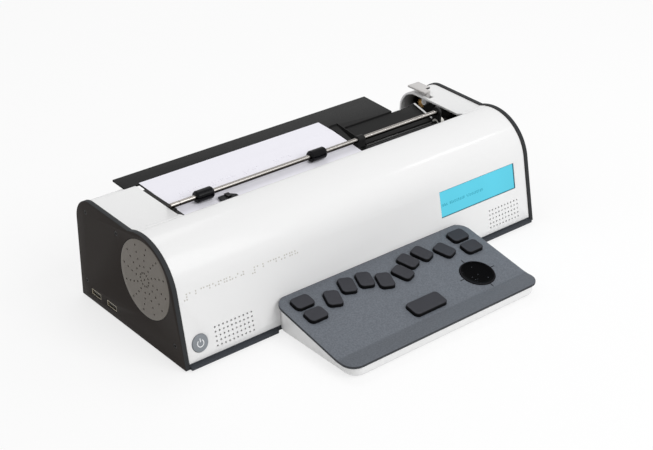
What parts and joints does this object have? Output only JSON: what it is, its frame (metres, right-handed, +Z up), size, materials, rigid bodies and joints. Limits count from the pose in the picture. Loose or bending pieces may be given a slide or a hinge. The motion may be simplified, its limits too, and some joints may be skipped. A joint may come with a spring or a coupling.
{
  "type": "braille writer",
  "caption": "Desktop braille embossing writer with a long curved white housing, open paper deck with feed rollers and embossing head, and a sloping braille keyboard at the front.",
  "frame": {"origin": "middle of the footprint of the whole object, on the surface the feet stand on", "axes": "+X along the machine towards the release lever, +Y from the keyboard to the rear, +Z up"},
  "size_m": [0.44, 0.2742, 0.1127],
  "materials": {
    "shell_white": "glossy white moulded cover",
    "plate_charcoal": "dark satin paint",
    "base_charcoal": "fine matt texture",
    "disc_grey": "fine matt texture",
    "display_cyan": "backlit display glass",
    "button_grey": "satin",
    "screw_steel": "plain zinc",
    "bright_steel": "ground steel",
    "foot_rubber": "matt rubber",
    "roller_rubber": "ground rubber",
    "belt_rubber": "toothed belt rubber",
    "port_metal": "bright plated shell",
    "board_green": "green solder mask",
    "battery_blue": "shrink film",
    "deck_metal": "satin black paint",
    "black_plastic": "matt black",
    "paper_white": "plain paper",
    "gear_nylon": "natural nylon",
    "brass": "turned brass",
    "pin_steel": "dark oiled steel",
    "motor_grey": "plated can",
    "frame_grey": "bent sheet",
    "carriage_grey": "moulded",
    "pulley_alloy": "turned",
    "lever_grey": "light grey moulded",
    "panel_grey": "satin blue-grey film",
    "key_black": "satin key caps",
    "nav_black": "gloss black"
  },
  "bodies": {
    "housing": {"base_tray": "base_charcoal", "left_side_plate": "plate_charcoal", "right_side_plate": "plate_charcoal", "front_cover": "shell_white", "rear_cover": "shell_white", "rubber_feet": "foot_rubber", "speaker_disc": "disc_grey", "side_speaker": "black_plastic", "front_speakers": "black_plastic", "lcd_module": "display_cyan", "plate_screws": "screw_steel", "side_ports": "port_metal", "main_board": "board_green", "battery": "battery_blue", "paper_tray": "deck_metal", "platen": "deck_metal", "anvil_bar": "black_plastic", "left_paper_rail": "black_plastic", "paper_sheet": "paper_white", "feed_motor": "motor_grey", "left_frame": "frame_grey", "right_frame": "frame_grey", "gear_plate": "deck_metal", "shaft_bushes": "gear_nylon", "carriage_rods": "pin_steel", "carriage_belt": "belt_rubber", "belt_motor": "motor_grey", "keyboard_base": "shell_white", "keyboard_panel": "panel_grey", "keyboard_board": "board_green"},
    "feed_drive": {"drive_shaft": "bright_steel", "drive_rollers": "roller_rubber", "drive_gear": "black_plastic"},
    "pinch": {"pinch_shaft": "bright_steel", "pinch_rollers": "roller_rubber"},
    "idler": {"idler_gear": "black_plastic"},
    "pinion": {"motor_pinion": "brass"},
    "guide": {"right_paper_guide": "deck_metal"},
    "head": {"head_carriage": "carriage_grey", "emboss_nose": "carriage_grey"},
    "pins": {"emboss_pins": "pin_steel"},
    "drive_pulley_body": {"drive_pulley": "pulley_alloy"},
    "idler_pulley_body": {"idler_pulley": "pulley_alloy"},
    "lever": {"release_lever": "lever_grey"},
    "power": {"power_button": "button_grey"},
    "nav_cross": {"nav_gimbal": "bright_steel"},
    "nav": {"nav_disc": "nav_black"},
    "left_dot_key_1_body": {"left_dot_key_1": "key_black"},
    "left_dot_key_2_body": {"left_dot_key_2": "key_black"},
    "left_dot_key_3_body": {"left_dot_key_3": "key_black"},
    "left_dot_key_4_body": {"left_dot_key_4": "key_black"},
    "right_dot_key_1_body": {"right_dot_key_1": "key_black"},
    "right_dot_key_2_body": {"right_dot_key_2": "key_black"},
    "right_dot_key_3_body": {"right_dot_key_3": "key_black"},
    "right_dot_key_4_body": {"right_dot_key_4": "key_black"},
    "left_function_key_1_body": {"left_function_key_1": "key_black"},
    "left_function_key_2_body": {"left_function_key_2": "key_black"},
    "right_function_key_1_body": {"right_function_key_1": "key_black"},
    "right_function_key_2_body": {"right_function_key_2": "key_black"},
    "space_key_body": {"space_key": "key_black"}
  },
  "joints": [
    {"name": "feed_spin", "type": "hinge", "parent": "housing", "child": "feed_drive", "pos_m": [0, 0.05971, 0.09418], "axis": [1, 0, 0], "continuous": true},
    {"name": "pinch_spin", "type": "hinge", "parent": "housing", "child": "pinch", "pos_m": [0, 0.05971, 0.10694], "axis": [1, 0, 0], "continuous": true},
    {"name": "idler_spin", "type": "hinge", "parent": "housing", "child": "idler", "pos_m": [0.1985, 0.08683, 0.06901], "axis": [1, 0, 0], "continuous": true},
    {"name": "pinion_spin", "type": "hinge", "parent": "housing", "child": "pinion", "pos_m": [0.1985, 0.11532, 0.08848], "axis": [1, 0, 0], "continuous": true},
    {"name": "guide_slide", "type": "slide", "parent": "housing", "child": "guide", "axis": [1, 0, 0], "range_m": [0, 0.09]},
    {"name": "head_slide", "type": "slide", "parent": "housing", "child": "head", "axis": [1, 0, 0], "range_m": [-0.036, 0.24]},
    {"name": "pin_stroke", "type": "slide", "parent": "head", "child": "pins", "axis": [0, 0, -1], "range_m": [0, 0.0005], "stiffness_N_per_m": 500, "springref_m": -0.0004},
    {"name": "drive_pulley_spin", "type": "hinge", "parent": "housing", "child": "drive_pulley_body", "pos_m": [-0.1872, 0.0023, 0.0705], "axis": [0, 0, 1], "continuous": true},
    {"name": "idler_pulley_spin", "type": "hinge", "parent": "housing", "child": "idler_pulley_body", "pos_m": [0.1785, 0.0023, 0.0705], "axis": [0, 0, 1], "continuous": true},
    {"name": "lever_swing", "type": "hinge", "parent": "housing", "child": "lever", "pos_m": [0.1882, 0.09842, 0.09955], "axis": [1, 0, 0], "range_deg": [0, 30]},
    {"name": "power_press", "type": "slide", "parent": "housing", "child": "power", "axis": [0, 0.9774, -0.2113], "range_m": [0, 0.0012], "stiffness_N_per_m": 600, "springref_m": -0.0005},
    {"name": "nav_tilt_rows", "type": "hinge", "parent": "housing", "child": "nav_cross", "pos_m": [0.0756, -0.09354, 0.01328], "axis": [1, 0, 0], "range_deg": [-3, 3], "stiffness_Nm_per_rad": 0.5},
    {"name": "nav_tilt_columns", "type": "hinge", "parent": "nav_cross", "child": "nav", "pos_m": [0.0756, -0.09354, 0.01328], "axis": [0, 0.9824, 0.1867], "range_deg": [-3, 3], "stiffness_Nm_per_rad": 0.5},
    {"name": "left_dot_key_1_press", "type": "slide", "parent": "housing", "child": "left_dot_key_1_body", "axis": [0, 0.1867, -0.9824], "range_m": [0, 0.0022], "stiffness_N_per_m": 300, "springref_m": -0.0005},
    {"name": "left_dot_key_2_press", "type": "slide", "parent": "housing", "child": "left_dot_key_2_body", "axis": [0, 0.1867, -0.9824], "range_m": [0, 0.0022], "stiffness_N_per_m": 300, "springref_m": -0.0005},
    {"name": "left_dot_key_3_press", "type": "slide", "parent": "housing", "child": "left_dot_key_3_body", "axis": [0, 0.1867, -0.9824], "range_m": [0, 0.0022], "stiffness_N_per_m": 300, "springref_m": -0.0005},
    {"name": "left_dot_key_4_press", "type": "slide", "parent": "housing", "child": "left_dot_key_4_body", "axis": [0, 0.1867, -0.9824], "range_m": [0, 0.0022], "stiffness_N_per_m": 300, "springref_m": -0.0005},
    {"name": "right_dot_key_1_press", "type": "slide", "parent": "housing", "child": "right_dot_key_1_body", "axis": [0, 0.1867, -0.9824], "range_m": [0, 0.0022], "stiffness_N_per_m": 300, "springref_m": -0.0005},
    {"name": "right_dot_key_2_press", "type": "slide", "parent": "housing", "child": "right_dot_key_2_body", "axis": [0, 0.1867, -0.9824], "range_m": [0, 0.0022], "stiffness_N_per_m": 300, "springref_m": -0.0005},
    {"name": "right_dot_key_3_press", "type": "slide", "parent": "housing", "child": "right_dot_key_3_body", "axis": [0, 0.1867, -0.9824], "range_m": [0, 0.0022], "stiffness_N_per_m": 300, "springref_m": -0.0005},
    {"name": "right_dot_key_4_press", "type": "slide", "parent": "housing", "child": "right_dot_key_4_body", "axis": [0, 0.1867, -0.9824], "range_m": [0, 0.0022], "stiffness_N_per_m": 300, "springref_m": -0.0005},
    {"name": "left_function_key_1_press", "type": "slide", "parent": "housing", "child": "left_function_key_1_body", "axis": [0, 0.1867, -0.9824], "range_m": [0, 0.0022], "stiffness_N_per_m": 300, "springref_m": -0.0005},
    {"name": "left_function_key_2_press", "type": "slide", "parent": "housing", "child": "left_function_key_2_body", "axis": [0, 0.1867, -0.9824], "range_m": [0, 0.0022], "stiffness_N_per_m": 300, "springref_m": -0.0005},
    {"name": "right_function_key_1_press", "type": "slide", "parent": "housing", "child": "right_function_key_1_body", "axis": [0, 0.1867, -0.9824], "range_m": [0, 0.0022], "stiffness_N_per_m": 300, "springref_m": -0.0005},
    {"name": "right_function_key_2_press", "type": "slide", "parent": "housing", "child": "right_function_key_2_body", "axis": [0, 0.1867, -0.9824], "range_m": [0, 0.0022], "stiffness_N_per_m": 300, "springref_m": -0.0005},
    {"name": "space_key_press", "type": "slide", "parent": "housing", "child": "space_key_body", "axis": [0, 0.1867, -0.9824], "range_m": [0, 0.0022], "stiffness_N_per_m": 300, "springref_m": -0.0005}
  ],
  "couplings": [
    {"joint": "pinch_spin", "follows": "feed_spin", "ratio": -1.0435},
    {"joint": "idler_spin", "follows": "feed_spin", "ratio": -0.23333},
    {"joint": "pinion_spin", "follows": "feed_spin", "ratio": 1.5556},
    {"joint": "drive_pulley_spin", "follows": "head_slide", "rad_per_m": 166.67},
    {"joint": "idler_pulley_spin", "follows": "head_slide", "rad_per_m": 166.67}
  ]
}
